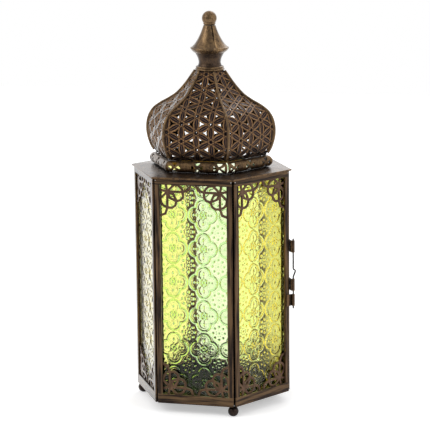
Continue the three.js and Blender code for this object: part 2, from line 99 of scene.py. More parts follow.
# %% [markdown]
# ## Floor, backdrop and light
#
# The lantern stands in a white studio. Glass and polished metal show their surroundings, so the
# surroundings are half of how they look: white to the sides and behind, which rims the metal with
# pale light and fills the glass, and darker towards the photographer, which keeps the fronts of the
# metal deep. The Light Path node tells the rays that see the backdrop from those that only carry
# light, so the backdrop can be pure white while the light on the lantern stays at a plain level.

# %% Node helpers
def add(tree, kind, values=None, **settings):
    """Adds a node to a tree, sets its options, and sets its inputs by name or number."""
    made = tree.nodes.new(kind)
    for name, value in settings.items():
        setattr(made, name, value)
    for name, value in (values or {}).items():
        if isinstance(value, bpy.types.NodeSocket):
            tree.links.new(value, made.inputs[name])
        else:
            made.inputs[name].default_value = value
    return made


def math_node(tree, operation, first, second=0.0, clamp=False):
    """A Math node's result."""
    return add(tree, "ShaderNodeMath", {0: first, 1: second}, operation=operation, use_clamp=clamp).outputs[0]


def mixed(tree, share, first, second):
    """Two colours mixed by a share."""
    made = add(tree, "ShaderNodeMix", {0: share, 6: first, 7: second}, data_type="RGBA")
    return made.outputs[2]


# %% World
DIFFUSE_LIGHT = 0.62
FRONT_SHADE = 0.3

world = bpy.data.worlds.new("studio")
scene.world = world
world.use_nodes = True
tree = world.node_tree
tree.nodes.clear()
path = add(tree, "ShaderNodeLightPath")
direction = add(tree, "ShaderNodeSeparateXYZ", {0: add(tree, "ShaderNodeTexCoord").outputs["Generated"]})
toward_back = add(
    tree, "ShaderNodeMapRange",
    {"Value": direction.outputs["Y"], "From Min": -0.95, "From Max": 0.35, "To Min": FRONT_SHADE, "To Max": 1.0},
    interpolation_type="SMOOTHSTEP",
)
plain = add(tree, "ShaderNodeBackground", {"Color": (1, 1, 1, 1), "Strength": DIFFUSE_LIGHT})
mirrored = add(tree, "ShaderNodeBackground", {"Color": (1, 1, 1, 1), "Strength": toward_back.outputs[0]})
white = add(tree, "ShaderNodeBackground", {"Color": (1, 1, 1, 1), "Strength": 1.0})
seen = math_node(tree, "MAXIMUM", path.outputs["Is Camera Ray"], path.outputs["Is Transmission Ray"])
glossy_or_plain = add(tree, "ShaderNodeMixShader", {
    0: path.outputs["Is Glossy Ray"], 1: plain.outputs[0], 2: mirrored.outputs[0],
})
all_rays = add(tree, "ShaderNodeMixShader", {0: seen, 1: glossy_or_plain.outputs[0], 2: white.outputs[0]})
add(tree, "ShaderNodeOutputWorld", {"Surface": all_rays.outputs[0]})
print("world:", len(tree.nodes), "nodes")

# %% Floor
FLOOR_SIZE = 4.0
FLOOR_COLOUR = (0.93, 0.93, 0.93, 1)
FLOOR_LIFT = 0.42  # light added for the rays that see the floor, so that it is white and keeps a shadow

floor_material = bpy.data.materials.new("pale_floor")
floor_material.use_nodes = True
tree = floor_material.node_tree
tree.nodes.clear()
path = add(tree, "ShaderNodeLightPath")
seen = math_node(tree, "MAXIMUM", path.outputs["Is Camera Ray"], path.outputs["Is Transmission Ray"])
seen = math_node(tree, "MAXIMUM", seen, path.outputs["Is Glossy Ray"])
lift = math_node(tree, "MULTIPLY", seen, FLOOR_LIFT)
matte = add(tree, "ShaderNodeBsdfDiffuse", {"Color": FLOOR_COLOUR})
glow = add(tree, "ShaderNodeEmission", {"Color": (1, 1, 1, 1), "Strength": lift})
both = add(tree, "ShaderNodeAddShader", {0: matte.outputs[0], 1: glow.outputs[0]})
add(tree, "ShaderNodeOutputMaterial", {"Surface": both.outputs[0]})

bm = bmesh.new()
bmesh.ops.create_grid(bm, x_segments=1, y_segments=1, size=FLOOR_SIZE / 2)
mesh = bpy.data.meshes.new("floor")
bm.to_mesh(mesh)
bm.free()
mesh.materials.append(floor_material)
floor = bpy.data.objects.new("floor", mesh)
scene.collection.objects.link(floor)

# %% Lamps
def soft_lamp(name, place, size, power):
    """A square lamp at a place, turned towards the middle of the lantern."""
    lamp = bpy.data.lights.new(name, "AREA")
    lamp.size = size
    lamp.energy = power
    made = bpy.data.objects.new(name, lamp)
    scene.collection.objects.link(made)
    place = Vector(place)
    look = (Vector((0, 0, 0.18)) - place).to_track_quat("-Z", "Y")
    made.matrix_world = Matrix.Translation(place) @ look.to_matrix().to_4x4()
    return made


soft_lamp("lamp_left", (-1.3, -1.0, 1.3), 1.0, 11)
soft_lamp("lamp_right", (1.5, -0.7, 0.9), 0.9, 5)
soft_lamp("lamp_back", (0.3, 1.5, 1.5), 1.2, 9)
print("lamps: 3")

# %% [markdown]
# ## Effects that several finishes share
#
# Antiqued bronze is dark where hands and cloth never reach, and golden where they do. Four effects
# tell that story, and each is a node group built once: wear on the edges, grime and painted shade in
# the corners, a mottled patina, and the streaks that a cloth leaves. A group gives out only masks and
# heights; the colours that they choose between stay in each material.

# %% Group helper
def effect(name, inputs, outputs):
    """An empty shader node group with named float inputs and outputs."""
    group = bpy.data.node_groups.new(name, "ShaderNodeTree")
    for label, value in inputs.items():
        socket = group.interface.new_socket(label, in_out="INPUT", socket_type="NodeSocketFloat")
        socket.default_value = value
    for label in outputs:
        group.interface.new_socket(label, in_out="OUTPUT", socket_type="NodeSocketFloat")
    return group, group.nodes.new("NodeGroupInput"), group.nodes.new("NodeGroupOutput")


# %% Edge wear
edge_wear, given, result = effect("edge wear", {"Radius": 0.0006, "Reach": 5.0, "Grain": 900.0}, ["Wear"])
rounded = add(edge_wear, "ShaderNodeBevel", {"Radius": given.outputs["Radius"]}, samples=4)
surface_here = add(edge_wear, "ShaderNodeNewGeometry")
agreement = add(
    edge_wear, "ShaderNodeVectorMath",
    {0: rounded.outputs[0], 1: surface_here.outputs["Normal"]}, operation="DOT_PRODUCT",
)
turned_away = math_node(edge_wear, "SUBTRACT", 1.0, agreement.outputs["Value"])
strong = math_node(edge_wear, "MULTIPLY", turned_away, given.outputs["Reach"], clamp=True)
coordinates = add(edge_wear, "ShaderNodeTexCoord")
speckle = add(edge_wear, "ShaderNodeTexNoise", {
    "Vector": coordinates.outputs["Object"], "Scale": given.outputs["Grain"], "Detail": 3.0,
})
broken = add(edge_wear, "ShaderNodeMapRange", {
    "Value": speckle.outputs[0], "From Min": 0.3, "From Max": 0.62, "To Min": 0.25, "To Max": 1.0,
})
edge_wear.links.new(math_node(edge_wear, "MULTIPLY", strong, broken.outputs[0]), result.inputs["Wear"])

# %% Grime and painted shade in the corners
corner_grime_and_shade, given, result = effect("corner grime and shade", {"Distance": 0.003, "Depth": 1.4}, ["Grime"])
# Ambient occlusion darkens where little light reaches: grime in the corners, and painted shade.
hollow = add(
    corner_grime_and_shade, "ShaderNodeAmbientOcclusion", {"Distance": given.outputs["Distance"]}, samples=6,
)
shut = math_node(corner_grime_and_shade, "SUBTRACT", 1.0, hollow.outputs["AO"])
corner_grime_and_shade.links.new(
    math_node(corner_grime_and_shade, "MULTIPLY", shut, given.outputs["Depth"], clamp=True), result.inputs["Grime"],
)

# %% Mottled patina
patina, given, result = effect("patina", {"Patch": 130.0, "Speck": 1100.0}, ["Brown", "Pits"])
coordinates = add(patina, "ShaderNodeTexCoord")
patches = add(patina, "ShaderNodeTexNoise", {
    "Vector": coordinates.outputs["Object"], "Scale": given.outputs["Patch"],
    "Detail": 5.0, "Roughness": 0.62,
})
specks = add(patina, "ShaderNodeTexNoise", {
    "Vector": coordinates.outputs["Object"], "Scale": given.outputs["Speck"], "Detail": 4.0,
})
together = math_node(patina, "MULTIPLY", patches.outputs[0], specks.outputs[0])
brown = add(patina, "ShaderNodeMapRange", {"Value": together, "From Min": 0.16, "From Max": 0.36})
patina.links.new(brown.outputs[0], result.inputs["Brown"])
patina.links.new(specks.outputs[0], result.inputs["Pits"])

# %% Cloth streaks
streaks, given, result = effect("cloth streaks", {"Level": 420.0, "Upright": 26.0}, ["Streak"])
coordinates = add(streaks, "ShaderNodeTexCoord")
stretch = add(streaks, "ShaderNodeCombineXYZ", {
    0: given.outputs["Level"], 1: given.outputs["Level"], 2: given.outputs["Upright"],
})
stretched = add(
    streaks, "ShaderNodeVectorMath",
    {0: coordinates.outputs["Object"], 1: stretch.outputs[0]}, operation="MULTIPLY",
)
lines = add(streaks, "ShaderNodeTexNoise", {"Vector": stretched.outputs[0], "Scale": 1.0, "Detail": 5.0})
streak = add(streaks, "ShaderNodeMapRange", {"Value": lines.outputs[0], "From Min": 0.43, "From Max": 0.6})
streaks.links.new(streak.outputs[0], result.inputs["Streak"])

# %% Which faces look inward, towards the middle of the case
inward_faces, given, result = effect("inward faces", {"Reach": 1.0}, ["Inside"])
coordinates = add(inward_faces, "ShaderNodeTexCoord")
outward = add(
    inward_faces, "ShaderNodeVectorMath", {0: coordinates.outputs["Object"], 1: (1, 1, 0)}, operation="MULTIPLY",
)
outward = add(inward_faces, "ShaderNodeVectorMath", {0: outward.outputs[0]}, operation="NORMALIZE")
surface_here = add(inward_faces, "ShaderNodeNewGeometry")
looks_out = add(
    inward_faces, "ShaderNodeVectorMath",
    {0: outward.outputs[0], 1: surface_here.outputs["Normal"]}, operation="DOT_PRODUCT",
)
inside = add(inward_faces, "ShaderNodeMapRange", {
    "Value": looks_out.outputs["Value"], "From Min": -0.25, "From Max": -0.6, "To Max": given.outputs["Reach"],
})
inward_faces.links.new(inside.outputs[0], result.inputs["Inside"])
print("shared effects:", [group.name for group in bpy.data.node_groups])

# %% [markdown]
# ## The metal finishes
#
# All the metal is one alloy, but each piece was handled differently. The case's sheet is dark with
# golden streaks along its edges, the dome's ribs and the finial are rubbed almost to the bare
# bronze, and the fretwork, hinges and bolt are left nearly black. So there is one recipe with its
# own colours and amounts for each finish.

# %% Metal recipe
RAIL_FOOT = 0.0174  # height up to which a frame is its bottom rail
RAIL_HEAD = 0.2039  # height from which it is its top rail
DOME_FOOT_SHADE = (0.225, 0.234)  # heights between which the painted shade at the dome's foot thins out
GLANCE = (0.58, 0.7)  # how far a surface has to turn away before the wax on it shows, and shows fully


def metal(name, dark, brown, gold, worn=1.0, streaked=0.0, grime_and_shade_amount=0.8, radius=0.0006, gloss=0.42,
          patch=130.0, dent=0.00006, waxed=1.0, wax_ior=1.9, embossed=False, framed=False, inside=None):
    """Antiqued metal: dark oxide, brown patina over it, bare metal where worn, grime and painted shade."""
    material = bpy.data.materials.new(name)
    material.use_nodes = True
    tree = material.node_tree
    tree.nodes.clear()
    wear = add(tree, "ShaderNodeGroup", node_tree=edge_wear)
    wear.inputs["Radius"].default_value = radius
    grime_and_shade_in_corners = add(tree, "ShaderNodeGroup", node_tree=corner_grime_and_shade)
    film = add(tree, "ShaderNodeGroup", node_tree=patina)
    film.inputs["Patch"].default_value = patch
    cloth = add(tree, "ShaderNodeGroup", node_tree=streaks)
    streak = cloth.outputs["Streak"]
    if framed:
        rail_cloth = add(tree, "ShaderNodeGroup", node_tree=streaks)
        rail_cloth.inputs["Level"].default_value = 26.0
        rail_cloth.inputs["Upright"].default_value = 420.0
        place = add(tree, "ShaderNodeSeparateXYZ", {0: add(tree, "ShaderNodeTexCoord").outputs["Object"]})
        below = math_node(tree, "LESS_THAN", place.outputs["Z"], RAIL_FOOT)
        above = math_node(tree, "GREATER_THAN", place.outputs["Z"], RAIL_HEAD)
        on_rail = math_node(tree, "MAXIMUM", below, above)
        streak = add(tree, "ShaderNodeMix", {0: on_rail, 2: streak, 3: rail_cloth.outputs["Streak"]}).outputs[0]
    base = mixed(tree, film.outputs["Brown"], (*dark, 1), (*brown, 1))
    rubbed = math_node(tree, "MULTIPLY", streak, streaked)
    base = mixed(tree, rubbed, base, (*gold, 1))
    bare = math_node(tree, "MULTIPLY", wear.outputs["Wear"], worn, clamp=True)
    if embossed:
        raised = add(tree, "ShaderNodeAttribute", attribute_name="relief")
        crest = add(tree, "ShaderNodeMapRange", {"Value": raised.outputs["Fac"], "From Min": 0.1, "From Max": 0.26})
        worn_crest = add(tree, "ShaderNodeMapRange", {
            "Value": film.outputs["Pits"], "From Min": 0.3, "From Max": 0.55, "To Min": 0.25, "To Max": 1.0,
        })
        base = mixed(tree, crest.outputs[0], (*dark, 1), base)
        bare = math_node(tree, "MAXIMUM", bare, math_node(tree, "MULTIPLY", crest.outputs[0], worn_crest.outputs[0]))
    base = mixed(tree, bare, base, (*gold, 1))
    grime_and_painted_shade = math_node(tree, "MULTIPLY", grime_and_shade_in_corners.outputs["Grime"], grime_and_shade_amount)
    inner = add(tree, "ShaderNodeGroup", node_tree=inward_faces).outputs["Inside"]
    # Faces that look inward take the inside colour where one is given; where none is, they get painted shade, the dark
    # inside of the case.
    if inside:
        base = mixed(tree, inner, base, (*inside, 1))
    else:
        grime_and_painted_shade = math_node(tree, "MAXIMUM", grime_and_painted_shade, inner)
    if embossed:
        # Painted shade at the dome's foot, where the gores turn in and face down.
        height = add(tree, "ShaderNodeSeparateXYZ", {0: add(tree, "ShaderNodeTexCoord").outputs["Object"]})
        low = add(tree, "ShaderNodeMapRange", {
            "Value": height.outputs["Z"], "From Min": DOME_FOOT_SHADE[1], "From Max": DOME_FOOT_SHADE[0], "To Max": 0.8,
        })
        grime_and_painted_shade = math_node(tree, "MAXIMUM", grime_and_painted_shade, low.outputs[0])
    # Grime and painted shade darken the base to a third of the oxide.
    base = mixed(tree, grime_and_painted_shade, base, (*[0.35 * value for value in dark], 1))
    rough = add(tree, "ShaderNodeMapRange", {
        "Value": film.outputs["Pits"], "From Min": 0.3, "From Max": 0.7,
        "To Min": gloss - 0.08, "To Max": gloss + 0.14,
    })
    relief = add(tree, "ShaderNodeBump", {
        "Height": film.outputs["Pits"], "Distance": dent, "Strength": 1.0,
    })
    facing = add(tree, "ShaderNodeLayerWeight", {"Blend": 0.5})
    wax = add(tree, "ShaderNodeMapRange", {
        "Value": facing.outputs["Facing"], "From Min": GLANCE[0], "From Max": GLANCE[1], "To Max": waxed,
    }, interpolation_type="SMOOTHSTEP")
    surface = add(tree, "ShaderNodeBsdfPrincipled", {
        "Base Color": base, "Roughness": rough.outputs[0], "Metallic": 0.9,
        "Normal": relief.outputs[0], "Coat Weight": wax.outputs[0], "Coat Roughness": 0.26, "Coat IOR": wax_ior,
    })
    add(tree, "ShaderNodeOutputMaterial", {"Surface": surface.outputs[0]})
    return material


# %% Finishes
OXIDE = (0.028, 0.02, 0.018)
BROWN = (0.1, 0.06, 0.036)
GOLD = (0.34, 0.2, 0.09)
BRIGHT_BRASS = (0.34, 0.2, 0.06)

sheet_bronze = metal("sheet_bronze", OXIDE, BROWN, GOLD, worn=1.0, streaked=0.35, radius=0.0008)
frame_bronze = metal("frame_bronze", (0.016, 0.012, 0.011), (0.038, 0.025, 0.018), (0.25, 0.15, 0.075), worn=0.5,
                     streaked=0.5, radius=0.0004, framed=True, inside=BRIGHT_BRASS)
dome_bronze = metal("dome_bronze", (0.014, 0.011, 0.016), (0.06, 0.038, 0.03), (0.36, 0.2, 0.085), worn=0.5,
                    grime_and_shade_amount=0.6, radius=0.0003, wax_ior=3.2, embossed=True)
collar_bronze = metal("collar_bronze", OXIDE, (0.21, 0.13, 0.06), GOLD, worn=0.9, streaked=0.3)
rubbed_bronze = metal("rubbed_bronze", (0.07, 0.046, 0.03), (0.2, 0.125, 0.065), (0.46, 0.29, 0.13),
                      worn=0.9, streaked=0.25, radius=0.0006, gloss=0.36, waxed=0.45)
fret_bronze = metal("fretwork_bronze", (0.07, 0.042, 0.028), (0.16, 0.094, 0.057), (0.3, 0.18, 0.1),
                    worn=0.5, radius=0.0003, grime_and_shade_amount=0.25)
waist_bronze = metal("waist_bronze", (0.035, 0.024, 0.02), (0.1, 0.062, 0.036), (0.4, 0.25, 0.11),
                     worn=0.9, radius=0.0008, gloss=0.4, waxed=0.45)
foot_bronze = metal("foot_bronze", (0.014, 0.01, 0.01), (0.045, 0.029, 0.022), (0.2, 0.12, 0.065), gloss=0.3)
dark_iron = metal("dark_iron", (0.016, 0.014, 0.013), (0.04, 0.034, 0.03), (0.2, 0.17, 0.14),
                  worn=0.7, radius=0.0003, gloss=0.38)
# Near black: for the tray, and for the rods of painted shade in the inner corners.
near_black = metal("near_black_tray", (0.006, 0.007, 0.004), (0.016, 0.017, 0.009), (0.05, 0.04, 0.02),
             worn=0.2, gloss=0.8, waxed=0.0)
solder = metal("solder", (0.4, 0.39, 0.37), (0.62, 0.6, 0.57), (0.8, 0.78, 0.75), worn=0.3, grime_and_shade_amount=0.2, gloss=0.3)
print("metal finishes:", len(bpy.data.materials))

# %% [markdown]
# ## Coloured glass
#
# The panes are coloured in the mass, pale green, yellow and amber, so what lies behind is seen
# through two colours at once: that is why one and the same back pane looks lime on the left and
# gold on the right. Principled glass multiplies by its colour where a ray enters and leaves, so a
# pane's written colour is what white light has after one pass.

# %% Glass recipe
def pressed_glass(name, colour, deep, pale):
    """Coloured glass: deeper on the pattern's slopes, with a painted highlight on its crests,
    and a painted sheen, paler, where one looks along the pane.
    """
    material = bpy.data.materials.new(name)
    material.use_nodes = True
    tree = material.node_tree
    tree.nodes.clear()
    coordinates = add(tree, "ShaderNodeTexCoord")
    ripple = add(tree, "ShaderNodeTexNoise", {
        "Vector": coordinates.outputs["Object"], "Scale": 420.0, "Detail": 3.0,
    })
    cloud = add(tree, "ShaderNodeTexNoise", {
        "Vector": coordinates.outputs["Object"], "Scale": 45.0, "Detail": 2.0,
    })
    tint = mixed(tree, cloud.outputs[0], (*colour, 1), (*[0.98 * value for value in colour], 1))
    stipple = add(tree, "ShaderNodeAttribute", attribute_name="stipple")
    tint = mixed(tree, stipple.outputs["Fac"], tint, (*[0.9 * value for value in colour], 1))
    # Painted highlight: the crests of the pattern are mixed almost to white, for the light that the relief gathers and
    # reflects.
    crest = add(tree, "ShaderNodeAttribute", attribute_name="crest")
    tint = mixed(tree, crest.outputs["Fac"], tint, (1.0, 1.0, min(1.0, 1.3 * colour[2]), 1))
    steep = add(tree, "ShaderNodeAttribute", attribute_name="steep")
    tint = mixed(tree, steep.outputs["Fac"], tint, (*deep, 1))
    facing = add(tree, "ShaderNodeLayerWeight", {"Blend": 0.5})
    glance = add(tree, "ShaderNodeMapRange", {
        "Value": facing.outputs["Facing"], "From Min": 0.5, "From Max": 0.7,
    }, interpolation_type="SMOOTHSTEP")
    # Painted sheen: at a glancing view the colour is mixed towards pale, for the white surroundings that the pane
    # reflects.
    tint = mixed(tree, glance.outputs[0], tint, (*pale, 1))
    relief = add(tree, "ShaderNodeBump", {"Height": ripple.outputs[0], "Distance": 0.00006, "Strength": 1.0})
    surface = add(tree, "ShaderNodeBsdfPrincipled", {
        "Base Color": tint, "Roughness": 0.02, "Metallic": 0.0, "IOR": 1.5,
        "Specular Tint": (0.4, 0.4, 0.4, 1), "Transmission Weight": 1.0, "Normal": relief.outputs[0],
        "Coat Weight": glance.outputs[0], "Coat Roughness": 0.3, "Coat IOR": 6.0,
    })
    add(tree, "ShaderNodeOutputMaterial", {"Surface": surface.outputs[0]})
    return material


pale_green = pressed_glass("pale_green_glass", (0.94, 0.975, 0.77), (0.22, 0.78, 0.04), (0.99, 0.97, 0.94))
yellow = pressed_glass("yellow_glass", (1.0, 1.0, 0.36), (0.85, 0.72, 0.06), (0.99, 0.97, 0.94))
amber = pressed_glass("amber_glass", (1.0, 0.86, 0.2), (0.95, 0.7, 0.25), (0.99, 0.96, 0.94))
print("glass: 3 colours")

# %% [markdown]
# ## Putting finishes on the frame
#
# Frames, plate, tray, hinges and bolt already have their shape, so they stay as they are. A Weld
# modifier closes the seams of their triangles and a Bevel modifier takes the knife edge off, which
# gives every edge the thin highlight that folded sheet has.

# %% Finish helper
SIDES = ["front", "right_front", "door", "back", "back_left", "left"]


def finish(name, material, edge=0.0):
    """Puts a material on a node of the frame, and softens its edges."""
    piece = nodes[name]
    piece.data.materials.clear()
    piece.data.materials.append(material)
    if edge:
        weld = piece.modifiers.new("closed seams", "WELD")
        weld.merge_threshold = 1e-6
        bevel = piece.modifiers.new("soft edges", "BEVEL")
        bevel.width = edge
        bevel.segments = 2
        bevel.limit_method = "ANGLE"
        bevel.angle_limit = math.radians(35)


# %% Finishes on the nodes that keep their shape
for name in nodes:
    if name.endswith("_frame"):
        finish(name, frame_bronze, 0.3 * MM)
    elif name.endswith("_fretwork"):
        finish(name, fret_bronze, 0.35 * MM)
    elif name.startswith("dome_rib"):
        finish(name, rubbed_bronze, 0.35 * MM)
    elif name.startswith(("collar", "dome_gore")):
        finish(name, dome_bronze)
    elif name.startswith("finial"):
        finish(name, rubbed_bronze)
    elif name.endswith("_pin") or name == "latch_bolt":
        finish(name, dark_iron)
    elif name.endswith("_pane"):
        continue
    else:
        finish(name, sheet_bronze, 0.15 * MM)
finish("base_tray", near_black)
print("nodes finished:", len(nodes))

# %% [markdown]
# ## The panes
#
# Each pane is thick glass pressed on a patterned table: barbed quatrefoils in a lattice, each with a
# flower in it, and a flower of pearls in the space between four of them. The relief is real, because
# what makes pressed glass look right is how its slopes bend the dark uprights behind it. A grid fine
# enough to carry the relief is raised by a height worked out from the distance to each ornament,
# then given its thickness. The pattern lies a little to one side on the front pane and to the other
# side on its neighbour, as it came off one long strip.

# %% Pressed pattern
COLUMN_PITCH = 26.9
ROW_PITCH = 29.7
COLUMN_START = 7.4
ROW_START = 148.0
LOBE_OFFSET = 6.3
LOBE_RADIUS = 6.55


def bump(distance, width):
    """A smooth rise: 1 at no distance, 0 from one width on."""
    share = min(1.0, abs(distance) / width)
    return (1 - share * share) ** 2


def dot(x, z, cx, cz, rx, rz):
    """A pearl or a drop, rx wide and rz high."""
    return bump(math.hypot((x - cx) / rx, (z - cz) / rz), 1.0)


def glass_relief(x, z):
    """Height of the pressed pattern at a place on the pane, as a share, and whether it is in a quatrefoil."""
    squash = ROW_PITCH / COLUMN_PITCH
    u = (x - COLUMN_START + COLUMN_PITCH / 2) % COLUMN_PITCH - COLUMN_PITCH / 2
    v = ((z - ROW_START + ROW_PITCH / 2) % ROW_PITCH - ROW_PITCH / 2) / squash
    a, b = abs(u), abs(v)
    edge = min(
        math.hypot(a - LOBE_OFFSET, b) - LOBE_RADIUS,
        math.hypot(a, b - LOBE_OFFSET) - LOBE_RADIUS,
    )
    height = 0.9 * bump(edge + 0.6, 0.85) + 0.3 * bump(edge + 2.4, 0.6)
    if edge < 0:
        radius = math.hypot(u, v)
        diagonal = abs(2 * u * v) / max(radius * radius, 0.01)
        height += 0.7 * bump(radius, 0.9)
        height += 0.9 * bump(radius - 2.7, 0.8) * diagonal
        height += 0.9 * dot(a, b, 4.9, 0.0, 0.9, 0.9) + 0.9 * dot(a, b, 7.4, 0.0, 1.4, 0.8)
        height += 0.9 * dot(a, b, 0.0, 6.9, 0.75, 2.1) + 0.7 * dot(a, b, 0.0, 3.9, 0.7, 0.8)
        height += 0.5 * dot(a, b, 4.7, 4.7, 0.7, 0.7)
    else:
        p, q = COLUMN_PITCH / 2 - a, COLUMN_PITCH / 2 - b
        height += 0.8 * bump(math.hypot(p, q), 1.0)
        for step in range(3):
            angle = step * math.pi / 4
            height += 0.95 * dot(p, q, 5.3 * math.cos(angle), 5.3 * math.sin(angle), 1.15, 1.15)
        height += 0.5 * dot(p, q, 2.5, 0.9, 0.7, 0.7) + 0.5 * dot(p, q, 0.9, 2.5, 0.7, 0.7)
    return min(height, 1.0), edge < 0


# %% Build a pane
PANE_GRID = 0.5
low, high = (Vector(corner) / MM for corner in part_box("front_pane"))
PANE_RELIEF = 0.7
STEEP = 0.13  # how far a slope's normal has turned away where the glass looks deepest


def pane_mesh(mirror):
    """A pane facing -Y: a raised grid in front, closed to a flat back."""
    width, height = high.x - low.x, high.z - low.z
    across, along = round(width / PANE_GRID), round(height / PANE_GRID)
    bm = bmesh.new()
    steep, crest, stipple = (bm.verts.layers.float.new(name) for name in ("steep", "crest", "stipple"))
    grid = bmesh.ops.create_grid(bm, x_segments=across, y_segments=along, size=0.5)["verts"]
    middle = (low + high) / 2
    for vert in grid:
        x, z = vert.co.x * width, middle.z + vert.co.y * height
        raised, in_quatrefoil = glass_relief(mirror * x, z)
        vert.co = Vector((x, low.y + PANE_RELIEF * (1 - raised), z))
        # crest: how high the pattern stands there, where the glass paints its highlight
        vert[crest] = max(0.0, (raised - 0.6) / 0.4)
        vert[stipple] = float(in_quatrefoil)
    rim = [edge for edge in bm.edges if edge.is_boundary]
    wall = bmesh.ops.extrude_edge_only(bm, edges=rim)["geom"]
    back_verts = [item for item in wall if isinstance(item, bmesh.types.BMVert)]
    for vert in back_verts:
        vert.co.y = high.y
    back_edges = [edge for edge in bm.edges if edge.is_boundary]
    bmesh.ops.contextual_create(bm, geom=back_edges)
    bmesh.ops.recalc_face_normals(bm, faces=bm.faces)
    for vert in grid:
        if not any(edge.calc_face_angle(0) > 1 for edge in vert.link_edges):
            vert[steep] = min(1.0, (1 - abs(vert.normal.y)) / STEEP)
    bmesh.ops.scale(bm, vec=(MM, MM, MM), verts=bm.verts)
    return bm


# %% Piece helper
def make_piece(name, bm, material, body, replaced=(), smooth_angle=40):
    """Turns a bmesh into a piece of the lantern, smooth but for its edges, riding on a body."""
    mesh = bpy.data.meshes.new(name)
    bm.to_mesh(mesh)
    bm.free()
    mesh.materials.append(material)
    mesh.shade_smooth()
    mesh.set_sharp_from_angle(angle=math.radians(smooth_angle))
    piece = bpy.data.objects.new(name, mesh)
    scene.collection.objects.link(piece)
    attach(piece, body)
    if replaced:
        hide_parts(*replaced)
    return piece


def turned_to(bm, side):
    """Turns what was drawn facing -Y to its side of the lantern."""
    turn = Matrix.Rotation(side * math.pi / 3, 3, "Z")
    bmesh.ops.rotate(bm, cent=(0, 0, 0), matrix=turn, verts=bm.verts)
    return bm


# %% Six panes
GLASS = {
    "front": (pale_green, "pale_green_glass"), "right_front": (yellow, "yellow_glass"),
    "door": (amber, "amber_glass"), "back": (pale_green, "pale_green_glass"),
    "back_left": (yellow, "yellow_glass"), "left": (amber, "amber_glass"),
}
pane_forms = {}
for mirror in (1, -1):
    bm = pane_mesh(mirror)
    pane_forms[mirror] = bpy.data.meshes.new("pane_form")
    bm.to_mesh(pane_forms[mirror])
    bm.free()
for number, side in enumerate(SIDES):
    bm = bmesh.new()
    bm.from_mesh(pane_forms[-1 if number % 2 else 1])
    glass, slot = GLASS[side]
    body = "door" if side == "door" else "lantern_body"
    pane = make_piece(f"pressed_pane_{side}", turned_to(bm, number), glass, body, [f"{side}_pane"], 60)
print("pane faces:", len(pane.data.polygons))

# %% [markdown]
# ## The dome's sheets
#
# Each of the dome's six gores is a pointed leaf of thin sheet, stamped with one pattern: circles
# that overlap on a triangular lattice, which leave a small ringed flower hole wherever they meet,
# an almond petal between two flowers, and a three-pointed cut-out between three petals. The whole
# pattern is one triangle repeated, so one triangular cell is made with care, laid out over the flat
# gore turned and turned again, trimmed to the gore's outline, and bent along the dome. Flat metal
# is pierced flat and bent after, and doing the same here keeps every cut-out true.

# %% Dome outline
FLOWER_PITCH = 15.2
FLOWER_START = 11.6
DOME_BULGE = 57.6
DOME_HEIGHT = 73.6
DOME_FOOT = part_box("dome_gore_front")[0].z / MM
DOME_POINTS = [
    (50.0, 0.0), (0.95 * DOME_BULGE, 0.105), (DOME_BULGE, 0.26), (0.982 * DOME_BULGE, 0.41),
    (0.905 * DOME_BULGE, 0.52), (0.783 * DOME_BULGE, 0.594), (0.642 * DOME_BULGE, 0.655),
    (0.505 * DOME_BULGE, 0.73), (0.362 * DOME_BULGE, 0.855), (13.3, 1.0),
]
COS30 = math.cos(math.pi / 6)
TAN30 = math.tan(math.pi / 6)


def smooth_line(points, steps):
    """A smooth line through points in a plane, sampled evenly between each two."""
    points = [Vector((*point, 0)) for point in points]
    line = [points[0]]
    for i in range(len(points) - 1):
        before, after = points[max(i - 1, 0)], points[min(i + 2, len(points) - 1)]
        start, end = points[i], points[i + 1]
        leave = start + (end - before) / 6
        arrive = end - (after - start) / 6
        line += geometry.interpolate_bezier(start, leave, arrive, end, steps + 1)[1:]
    return line


dome_line = smooth_line([(r * COS30, DOME_FOOT + h * DOME_HEIGHT) for r, h in DOME_POINTS], 12)
lengths = [0.0]
for here, there in zip(dome_line, dome_line[1:]):
    lengths.append(lengths[-1] + (there - here).length)
GORE_LENGTH = lengths[-1]


def on_dome(along):
    """The place on a gore's middle line and the way along it, at a length from the foot."""
    along = min(max(along, 0.0), GORE_LENGTH)
    i = min(bisect.bisect_right(lengths, along), len(lengths) - 1)
    here, there = dome_line[i - 1], dome_line[i]
    share = (along - lengths[i - 1]) / (lengths[i] - lengths[i - 1])
    return here.lerp(there, share), (there - here).normalized()


def gore_half(along):
    """Half the width of the flat gore."""
    return on_dome(along)[0].x * TAN30 - 0.3


print("gore, mm:", round(GORE_LENGTH, 1), "long,", round(2 * gore_half(GORE_LENGTH * 0.3), 1), "wide")

# %% One cell of the pattern
CELL_REACH = FLOWER_PITCH / math.sqrt(3)
CELL_INRADIUS = CELL_REACH / 2
FLOWER_HOLE = 1.0
FLOWER_RING = 2.0
POINT_REACH = 3.15
POINT_HOLLOW = 0.45
PETAL_REACH = 2.2
PETAL_POINT = 1.4
RINGS = [0.0, 0.3, 0.6, 0.9, 1.0, 1.1, 1.3, 1.75, 2.0]  # 1 is the petal's edge, 2 the border
RING_HEIGHTS = [0.04, 0.3, 0.14, 0.3, 0.36, 0.3, 0.0, 0.0, 0.22]
SIDE_STEPS = 12


